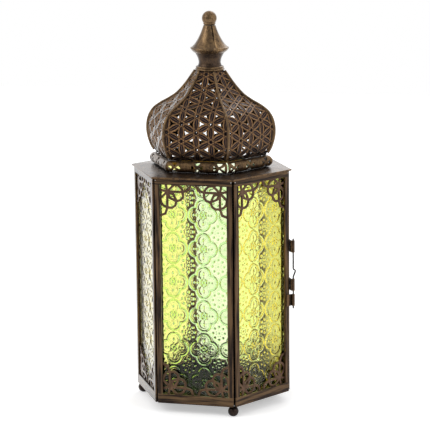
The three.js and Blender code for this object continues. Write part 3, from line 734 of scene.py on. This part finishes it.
def cell_border():
    """Places round a triangular cell: its sides, and the part of three flower holes in it."""
    places = []
    for corner in range(3):
        turn = Matrix.Rotation(corner * 2 * math.pi / 3, 2)
        flower = Vector((CELL_REACH, 0))
        next_flower = Matrix.Rotation(2 * math.pi / 3, 2) @ flower
        third = [
            flower + FLOWER_HOLE * Vector((math.cos(math.radians(a)), math.sin(math.radians(a))))
            for a in (180, 165, 150)
        ]
        leave = third[-1]
        arrive = next_flower + FLOWER_HOLE * (flower - next_flower).normalized()
        third += [leave.lerp(arrive, i / SIDE_STEPS) for i in range(1, SIDE_STEPS + 1)]
        third.append(next_flower + FLOWER_HOLE * Vector((math.cos(math.radians(-45)), math.sin(math.radians(-45)))))
        places += [turn @ place for place in third]
    return places


def cut_out_place(border):
    """The place on the three-pointed cut-out's edge that lies towards a place on the border."""
    angle = math.atan2(border.y, border.x)
    third = 2 * math.pi / 3
    from_side = (angle % third) - third / 2
    straight = POINT_REACH / 2 / math.cos(from_side)
    bowed = straight - POINT_HOLLOW * (1 - (from_side / (third / 2)) ** 2)
    return Vector((bowed * math.cos(angle), bowed * math.sin(angle)))


def petal_edge(place):
    """The place on the edge of the almond petal that lies straight in from a place on the border."""
    side = math.floor(math.degrees(math.atan2(place.y, place.x)) % 360 / 120)
    middle_angle = math.radians(60 + 120 * side)
    inwards = -Vector((math.cos(middle_angle), math.sin(middle_angle)))
    from_middle = abs(place.x * inwards.y - place.y * inwards.x)
    rise = math.sqrt(max(0.0, FLOWER_PITCH ** 2 - from_middle ** 2)) / FLOWER_PITCH - COS30
    bulge = PETAL_REACH * max(0.0, rise / (1 - COS30)) ** PETAL_POINT
    from_corner = math.degrees(math.atan2(place.y, place.x)) % 120
    beside = place.length * math.sin(math.radians(min(from_corner, 120 - from_corner)))
    return place + inwards * min(bulge, 0.75 * beside)


def cell_form():
    """One cell, from the edge of its cut-out to its border, with heights on a vertex layer."""
    borders = cell_border()
    inner = [cut_out_place(place) for place in borders]
    edges_of_petals = [petal_edge(place) for place in borders]
    bm = bmesh.new()
    relief = bm.verts.layers.float.new("relief")
    ring = bmesh.ops.create_circle(bm, segments=len(borders), radius=1)["verts"]
    for step, share in enumerate(RINGS):
        if step:
            edges = [edge for edge in bm.edges if all(vert in ring_set for vert in edge.verts)]
            made = bmesh.ops.extrude_edge_only(bm, edges=edges)["geom"]
            new = [item for item in made if isinstance(item, bmesh.types.BMVert)]
            follow = {}
            for vert in new:
                old = next(e.other_vert(vert) for e in vert.link_edges if e.other_vert(vert) in ring_set)
                follow[old] = vert
            ring = [follow[vert] for vert in ring]
        ring_set = set(ring)
        for vert, near, edge, far in zip(ring, inner, edges_of_petals, borders):
            place = near.lerp(edge, share) if share < 1 else edge.lerp(far, share - 1)
            flower = min(
                (place - CELL_REACH * Vector((math.cos(a), math.sin(a)))).length
                for a in (0, 2 * math.pi / 3, 4 * math.pi / 3)
            )
            fade = min(1.0, max(0.0, (flower - FLOWER_RING) / 1.2))
            rim = 0.3 * bump(flower - FLOWER_RING, 0.8)
            vert[relief] = max(rim, fade * RING_HEIGHTS[step])
            vert.co = (place.x, place.y, 0)
    return bm


bm = cell_form()
cell = bpy.data.meshes.new("cell")
bm.to_mesh(cell)
print("faces of a cell:", len(bm.faces))
bm.free()

# %% Lay the cells out, trim and bend
SHEET = 0.45
HEM_WIDTH = 1.9
HEM_DEPTH = 0.35
COLUMN = FLOWER_PITCH * COS30


def flat_gore():
    """The pierced pattern over a flat gore, trimmed to its outline."""
    bm = bmesh.new()
    bm.verts.layers.float.new("relief")
    for column in range(-3, 4):
        for row in range(-2, 8):
            for hand in (1, -1):
                centre = Vector((
                    (column + hand / 3) * COLUMN,
                    FLOWER_START + (row + 0.5 + (0.5 if column % 2 else 0)) * FLOWER_PITCH,
                ))
                nearest = min(max(centre.y, 0), GORE_LENGTH)
                if abs(centre.x) > gore_half(nearest) + CELL_REACH:
                    continue
                if not -CELL_REACH < centre.y < GORE_LENGTH + CELL_REACH:
                    continue
                before = len(bm.verts)
                bm.from_mesh(cell)
                bm.verts.ensure_lookup_table()
                new = bm.verts[before:]
                if hand < 0:
                    bmesh.ops.rotate(bm, verts=new, cent=(0, 0, 0), matrix=Matrix.Rotation(math.pi, 3, "Z"))
                bmesh.ops.translate(bm, verts=new, vec=(*centre, 0))
    bmesh.ops.remove_doubles(bm, verts=bm.verts, dist=0.02)
    for level, keep in ((0.0, 1), (GORE_LENGTH, -1)):
        bmesh.ops.bisect_plane(
            bm, geom=[*bm.verts, *bm.edges, *bm.faces], plane_co=(0, level, 0), plane_no=(0, keep, 0),
            clear_inner=True,
        )
    outside = [
        face for face in bm.faces
        if all(abs(vert.co.x) >= gore_half(vert.co.y) for vert in face.verts)
    ]
    bmesh.ops.delete(bm, geom=outside, context="FACES")
    for vert in bm.verts:
        half = gore_half(vert.co.y)
        vert.co.x = min(max(vert.co.x, -half), half)
    bmesh.ops.remove_doubles(bm, verts=bm.verts, dist=0.03)
    bmesh.ops.dissolve_degenerate(bm, dist=0.03, edges=bm.edges)
    loose_ends(bm)
    return bm


def loose_ends(bm):
    """Takes off faces that hang on by one corner or share an edge with two others."""
    while True:
        doubtful = {
            min(vert.link_faces, key=lambda face: face.calc_area())
            for vert in bm.verts if sum(edge.is_boundary for edge in vert.link_edges) > 2
        }
        doubtful |= {
            min(edge.link_faces, key=lambda face: face.calc_area())
            for edge in bm.edges if len(edge.link_faces) > 2
        }
        if not doubtful:
            break
        bmesh.ops.delete(bm, geom=list(doubtful), context="FACES")
    bmesh.ops.delete(bm, geom=[edge for edge in bm.edges if not edge.link_faces], context="EDGES")
    bmesh.ops.delete(bm, geom=[vert for vert in bm.verts if not vert.link_faces], context="VERTS")


def add_hem(bm):
    """Plain strips under the edges of the pierced sheet."""
    for edge in (-1, 1):
        made = bmesh.ops.create_grid(bm, x_segments=1, y_segments=60, size=0.5)["verts"]
        for vert in made:
            along = (vert.co.y + 0.5) * GORE_LENGTH
            inward = (0.5 - vert.co.x) * HEM_WIDTH if edge > 0 else (vert.co.x + 0.5) * HEM_WIDTH
            vert.co = (edge * (gore_half(along) - inward), along, -HEM_DEPTH)
    for start, end in ((0.0, 3.4), (GORE_LENGTH - 3.0, GORE_LENGTH)):
        made = bmesh.ops.create_grid(bm, x_segments=6, y_segments=4, size=0.5)["verts"]
        for vert in made:
            along = start + (vert.co.y + 0.5) * (end - start)
            vert.co = (vert.co.x * 2 * gore_half(along), along, -HEM_DEPTH)
    return bm


def bend_to_dome(bm):
    """Bends a flat gore along the dome, its relief standing out from the sheet."""
    relief = bm.verts.layers.float["relief"]
    for vert in bm.verts:
        place, way = on_dome(vert.co.y)
        out = vert.co.z + vert[relief] - 0.3
        vert.co = (vert.co.x, -(place.x + out * way.y), place.y - out * way.x)


bm = flat_gore()
add_hem(bm)
bend_to_dome(bm)
bmesh.ops.recalc_face_normals(bm, faces=bm.faces)
inward = sum(face.normal.y > 0.3 for face in bm.faces)
print("faces that look inward:", inward, "of", len(bm.faces))
inner_wall = [(vert, vert.normal.copy()) for vert in bm.verts]
bmesh.ops.extrude_face_region(bm, geom=bm.faces[:])
for vert, normal in inner_wall:
    vert.co -= normal * SHEET
bmesh.ops.recalc_face_normals(bm, faces=bm.faces)
open_edges = sum(not edge.is_manifold for edge in bm.edges)
bmesh.ops.scale(bm, vec=(MM, MM, MM), verts=bm.verts)
gore_form = bpy.data.meshes.new("gore")
bm.to_mesh(gore_form)
print("gore faces:", len(bm.faces), "open edges:", open_edges)
bm.free()

# %% Six gores
ABOVE = ["front", "right_front", "right_back", "back", "back_left", "left"]
for number, side in enumerate(ABOVE):
    bm = bmesh.new()
    bm.from_mesh(gore_form)
    make_piece(f"pierced_gore_{side}", turned_to(bm, number), dome_bronze, "lantern_body",
               [f"dome_gore_{side}"], 50)

# %% [markdown]
# ## The ribs
#
# Where two gores meet, their edges are folded together into one thin standing seam, and hands have
# rubbed its top to gold. A flat band is laid out along the dome's outline at the corners, given its
# thickness, and its edges are bevelled round.

# %% A rib
RIB_WIDTH = 1.9
RIB_OUT = 1.2
RIB_IN = 1.6
RIB_START = 2.5


def rib_form():
    """The folded seam over the joint of two gores, in the plane of the corner at +X."""
    bm = bmesh.new()
    band = bmesh.ops.create_grid(bm, x_segments=1, y_segments=56, size=0.5)["verts"]
    for vert in band:
        along = RIB_START + (vert.co.y + 0.5) * (GORE_LENGTH - RIB_START)
        place, way = on_dome(along)
        out = (vert.co.x + 0.5) * (RIB_OUT + RIB_IN) - RIB_IN
        steep = Vector((way.x / COS30, way.y)).normalized()
        vert.co = (place.x / COS30 + out * steep.y, -RIB_WIDTH / 2, place.y - out * steep.x)
    made = bmesh.ops.extrude_face_region(bm, geom=bm.faces[:])["geom"]
    bmesh.ops.translate(
        bm, verts=[item for item in made if isinstance(item, bmesh.types.BMVert)], vec=(0, RIB_WIDTH, 0),
    )
    bmesh.ops.recalc_face_normals(bm, faces=bm.faces)
    sharp = [edge for edge in bm.edges if edge.calc_face_angle(0) > math.radians(60)]
    bmesh.ops.bevel(
        bm, geom=sharp, offset=0.5, offset_type="OFFSET", segments=3, profile=0.5, affect="EDGES", material=-1,
    )
    bmesh.ops.scale(bm, vec=(MM, MM, MM), verts=bm.verts)
    return bm


CORNERS = ["right", "back_right", "back_left", "left", "front_left", "front_right"]
for number, corner in enumerate(CORNERS):
    make_piece(f"folded_rib_{corner}", turned_to(rib_form(), number), rubbed_bronze, "lantern_body",
               [f"dome_rib_{corner}"])
print("ribs: 6")

# %% [markdown]
# ## The collar
#
# Under the dome lies a half-round moulding in six lengths, mitred at the corners, and pierced with
# crosses that let the light of the panes out. A straight row of points is spun half round its own
# line into a half tube, both ends are cut off along the mitres, and the tube gets its wall. The
# crosses are cut with twelve three-sided punches and a Boolean modifier, because a punch is what
# makes them on the real one too.

# %% A length of collar
COLLAR_RADIUS = 50.5
COLLAR_BULGE = 4.9
COLLAR_WALL = 0.8
COLLAR_GAP = 0.7
WIDE_JOINT = {"front": 1, "right_front": -1}  # the ends that were cut a little short
CROSS_PITCH = 20
CROSS_REACH = 5.3
CROSS_HEIGHT = 3.9
CROSS_BAR = 1.15
low, high = (Vector(corner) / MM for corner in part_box("collar_front"))
COLLAR_MIDDLE = (low.z + high.z) / 2


def half_tube():
    """The half-round length facing -Y, mitred at both ends, with its wall."""
    bm = bmesh.new()
    line = bmesh.ops.create_grid(bm, x_segments=56, y_segments=1, size=0.5)["verts"]
    bmesh.ops.delete(bm, geom=[vert for vert in line if vert.co.y > 0], context="VERTS")
    for vert in bm.verts:
        vert.co = (vert.co.x * 66, -COLLAR_RADIUS * COS30, COLLAR_MIDDLE - COLLAR_BULGE)
    bmesh.ops.spin(
        bm, geom=[*bm.verts, *bm.edges], cent=(0, -COLLAR_RADIUS * COS30, COLLAR_MIDDLE), axis=(-1, 0, 0),
        angle=math.pi, steps=16, use_merge=False, use_duplicate=False,
    )
    for end in (-1, 1):
        mitre = Vector((end * COS30, 0.5, 0))
        bmesh.ops.bisect_plane(
            bm, geom=[*bm.verts, *bm.edges, *bm.faces], plane_co=-mitre * COLLAR_GAP / 2, plane_no=mitre,
            clear_outer=True,
        )
    bmesh.ops.recalc_face_normals(bm, faces=bm.faces)
    if sum(face.normal.y for face in bm.faces) > 0:
        bmesh.ops.reverse_faces(bm, faces=bm.faces)
    bmesh.ops.solidify(bm, geom=bm.faces[:], thickness=COLLAR_WALL)
    return bm


def punches():
    """Twelve three-sided punches: four to a cross, three crosses to a length."""
    bm = bmesh.new()
    for cross in (-1, 0, 1):
        for quarter in range(4):
            made = bmesh.ops.create_circle(bm, segments=3, radius=1, cap_ends=True)["verts"]
            face = made[0].link_faces[0]
            solid = bmesh.ops.extrude_face_region(bm, geom=[face])["geom"]
            tops = [item for item in solid if isinstance(item, bmesh.types.BMVert)]
            places = [(CROSS_BAR, 0), (CROSS_REACH, 2.9), (CROSS_REACH, -2.9)]
            turn = Matrix.Rotation(quarter * math.pi / 2, 2)
            flatten = CROSS_HEIGHT / CROSS_REACH
            for group, y in ((made, -COLLAR_RADIUS - 8), (tops, -COLLAR_RADIUS * COS30 - 0.3)):
                for vert, place in zip(group, places):
                    at = turn @ Vector(place)
                    vert.co = (cross * CROSS_PITCH + at.x, y, COLLAR_MIDDLE + at.y * flatten)
    bmesh.ops.recalc_face_normals(bm, faces=bm.faces)
    return bm


def cut_away(solid, cutter):
    """What is left of one bmesh after another is cut from it, by a Boolean modifier."""
    meshes = []
    for bm in (solid, cutter):
        mesh = bpy.data.meshes.new("work")
        bm.to_mesh(mesh)
        bm.free()
        meshes.append(mesh)
    work, tool = (bpy.data.objects.new("work", mesh) for mesh in meshes)
    for thing in (work, tool):
        scene.collection.objects.link(thing)
    modifier = work.modifiers.new("cut", "BOOLEAN")
    modifier.object = tool
    modifier.operation = "DIFFERENCE"
    modifier.solver = "EXACT"
    graph = bpy.context.evaluated_depsgraph_get()
    result = bpy.data.meshes.new_from_object(work.evaluated_get(graph))
    left = bmesh.new()
    left.from_mesh(result)
    for thing in (work, tool):
        bpy.data.objects.remove(thing)
    return left


tube = half_tube()
bm = cut_away(tube, punches())
bmesh.ops.scale(bm, vec=(MM, MM, MM), verts=bm.verts)
print("collar faces:", len(bm.faces), "open edges:", sum(not edge.is_manifold for edge in bm.edges))
collar_form = bpy.data.meshes.new("collar")
bm.to_mesh(collar_form)
bm.free()
for number, side in enumerate(ABOVE):
    bm = bmesh.new()
    bm.from_mesh(collar_form)
    for vert in bm.verts:
        if vert.co.x * WIDE_JOINT.get(side, 0) > 0.024:
            vert.co.x -= WIDE_JOINT[side] * 0.5 * MM
    make_piece(f"pierced_collar_{side}", turned_to(bm, number), collar_bronze, "lantern_body",
               [f"collar_{side}"], 35)

# %% [markdown]
# ## The finial and the feet
#
# The finial is three hollow pieces of thin brass, shaped over a turned core: a waist on a flat ring,
# a flared bell, and a ball. All are round, so each is a profile spun round the lantern's axis. The
# bell was rolled from one piece of sheet, and its lap seam shows as a step, which is made after the
# spin by lifting what lies on one side of the seam. The balls under the case are spun the same way.

# %% Turned forms
TURNED_STEPS = 96


def turned(profile, centre=(0, 0)):
    """A profile of radii and heights, from axis to axis, spun round an upright line."""
    bm = bmesh.new()
    verts = [bm.verts.new((centre[0] + radius, centre[1], height)) for radius, height in profile]
    edges = [bm.edges.new(pair) for pair in zip(verts, verts[1:])]
    bmesh.ops.spin(
        bm, geom=[*verts, *edges], cent=(*centre, 0), axis=(0, 0, 1), angle=2 * math.pi,
        steps=TURNED_STEPS, use_merge=True, use_duplicate=False,
    )
    bmesh.ops.remove_doubles(bm, verts=bm.verts, dist=0.001)
    bmesh.ops.recalc_face_normals(bm, faces=bm.faces)
    return bm


def arc(radius, height, size, start, end, steps=8):
    """Part of a circle in a profile, given by its middle, its size and two angles in degrees."""
    angles = [math.radians(start + (end - start) * i / steps) for i in range(steps + 1)]
    return [(radius + size * math.cos(a), height + size * math.sin(a)) for a in angles]


def flowing(points, steps=6):
    """A profile's curved stretch through a few points."""
    return [(place.x, place.y) for place in smooth_line(points, steps)]


# %% Waist
foot, top = (corner.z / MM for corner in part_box("finial_waist"))
bell_foot, bell_top = (corner.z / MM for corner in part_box("finial_bell"))
knob_foot, knob_top = (corner.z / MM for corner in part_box("finial_knob"))
WAIST_EDGE = 12.85
ring_profile = [
    (0, foot), *arc(12.1, foot + 0.85, 0.85, -90, 60, 8), *arc(11.4, foot + 2.75, 0.9, -50, 90, 8),
    (10.9, foot + 3.65), (0, foot + 3.65),
]
waist_profile = [
    (0, foot + 3.2), (10.8, foot + 3.2),
    *flowing([(10.7, foot + 3.8), (9.9, foot + 5.4), (9.65, foot + 7.4), (10.4, foot + 10.6),
              (11.7, foot + 13.4), (WAIST_EDGE, bell_foot - 0.1)]),
    (WAIST_EDGE, top), (0, top),
]
for name, profile, material in (
    ("spun_ring", ring_profile, rubbed_bronze), ("spun_waist", waist_profile, waist_bronze),
):
    bm = turned(profile)
    bmesh.ops.scale(bm, vec=(MM, MM, MM), verts=bm.verts)
    print(name, "faces:", len(bm.faces))
    make_piece(name, bm, material, "lantern_body", ["finial_waist"], 50)

# %% Bell
SEAM_ANGLE = math.radians(-51.6)
SEAM_STEP = 0.7
SEAM_WIDTH = math.radians(9)
SEAM_FADE = math.radians(70)
bell_profile = [
    (0, bell_foot + 1.0), (13.25, bell_foot + 1.0), (13.25, bell_foot),
    *flowing([(13.5, bell_foot + 0.05), (14.9, bell_foot + 1.2), (16.2, bell_foot + 2.7), (16.75, bell_foot + 3.5)]),
    *arc(16.3, bell_foot + 4.0, 0.6, -20, 110, 6),
    *flowing([(15.4, bell_foot + 5.0), (12.9, bell_foot + 7.7), (10.6, bell_foot + 11.2), (8.3, bell_foot + 15.6),
              (6.6, bell_foot + 19.8), (5.4, bell_top - 0.4)]),
    (5.2, bell_top), (0, bell_top),
]
bm = turned(bell_profile)
for vert in bm.verts:
    radius = math.hypot(vert.co.x, vert.co.y)
    past_seam = (math.atan2(vert.co.y, vert.co.x) - SEAM_ANGLE) % (2 * math.pi)
    if radius < 4 or vert.co.z < bell_foot + 1.1:
        continue
    room = min(1.0, max(0.0, (17.0 - radius) / 0.8))
    lift = SEAM_STEP * max(0.0, 1 - past_seam / SEAM_FADE) * room
    if 2 * math.pi - past_seam < SEAM_WIDTH:
        lift = -SEAM_STEP * (1 - (2 * math.pi - past_seam) / SEAM_WIDTH)
    vert.co.xy *= (radius + lift) / radius
bmesh.ops.scale(bm, vec=(MM, MM, MM), verts=bm.verts)
print("bell faces:", len(bm.faces))
make_piece("spun_bell", bm, rubbed_bronze, "lantern_body", ["finial_bell"], 35)

# %% Knob
KNOB_RADIUS = 6.5
DIMPLE_SIZE = 0.95
DIMPLE_DEPTH = 0.6
knob_middle = knob_top - KNOB_RADIUS
knob_profile = [
    (0, knob_foot), (4.7, knob_foot), (5.1, knob_foot + 0.3), (5.5, knob_foot + 1.4),
    *arc(0, knob_middle, KNOB_RADIUS, -36, 89.9, 30), (0, knob_top),
]
bm = turned(knob_profile)
towards_viewer = Vector((math.sin(TURNED), -math.cos(TURNED), 0))
dimple = Vector((0, 0, knob_middle)) + KNOB_RADIUS * (0.63 * towards_viewer + Vector((0, 0, 0.777)))
for vert in bm.verts:
    pressed = bump((vert.co - dimple).length, DIMPLE_SIZE)
    vert.co += (Vector((0, 0, knob_middle)) - vert.co).normalized() * DIMPLE_DEPTH * pressed
bmesh.ops.scale(bm, vec=(MM, MM, MM), verts=bm.verts)
print("knob faces:", len(bm.faces))
make_piece("spun_knob", bm, rubbed_bronze, "lantern_body", ["finial_knob"], 35)

# %% Solder, and painted shade in the inner corners
BEAD = 0.75
CORNER_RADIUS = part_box("right_front_frame")[1].x / MM
low, high = (Vector(corner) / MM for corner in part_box("front_frame"))
INNER_CORNER = -high.y / COS30


def bead(bm, place, size):
    """A drop of solder: a ball pressed a little flat."""
    made = bmesh.ops.create_icosphere(bm, subdivisions=3, radius=size)["verts"]
    bmesh.ops.scale(bm, vec=(1, 1, 0.8), verts=made)
    bmesh.ops.translate(bm, verts=made, vec=place)


bm = bmesh.new()
for corner in range(6):
    for hand in (-1, 1):
        angle = math.radians(60 * corner + 1.45 * hand)
        bead(bm, Vector((math.cos(angle), math.sin(angle), 0)) * (CORNER_RADIUS - 0.7) + Vector((0, 0, high.z - 1.1)), BEAD)
bmesh.ops.scale(bm, vec=(MM, MM, MM), verts=bm.verts)
make_piece("solder_beads", bm, solder, "lantern_body")

# Near-black rods in the inner corners close the slits between the frames: painted shade that keeps the corner grooves
# dark.
bm = bmesh.new()
for degrees in (120, 180, 240, 300):
    made = bmesh.ops.create_cone(
        bm, cap_ends=True, segments=16, radius1=1.0, radius2=1.0, depth=high.z - low.z - 2,
    )["verts"]
    turn = Matrix.Rotation(math.radians(degrees), 3, "Z")
    bmesh.ops.translate(bm, verts=made, vec=turn @ Vector((INNER_CORNER, 0, 0)) + Vector((0, 0, (low.z + high.z) / 2)))
bmesh.ops.scale(bm, vec=(MM, MM, MM), verts=bm.verts)
make_piece("inner_corner_shade_rods", bm, near_black, "lantern_body")

# %% Feet
for name in ("back_right", "left", "front"):
    low, high = (Vector(corner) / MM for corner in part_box(f"foot_{name}"))
    middle = (low + high) / 2
    ball = (high.x - low.x) / 2
    flat = math.degrees(math.asin(min(1.0, (middle.z - low.z) / ball * 0.97)))
    profile = [(0, low.z), *arc(0, low.z + ball * math.sin(math.radians(flat)), ball, -flat, 50, 16), (0, high.z)]
    bm = turned(profile, (middle.x, middle.y))
    bmesh.ops.scale(bm, vec=(MM, MM, MM), verts=bm.verts)
    make_piece(f"ball_foot_{name}", bm, foot_bronze, "lantern_body", [f"foot_{name}"], 50)
print("foot faces:", 3 * len(profile) * TURNED_STEPS)
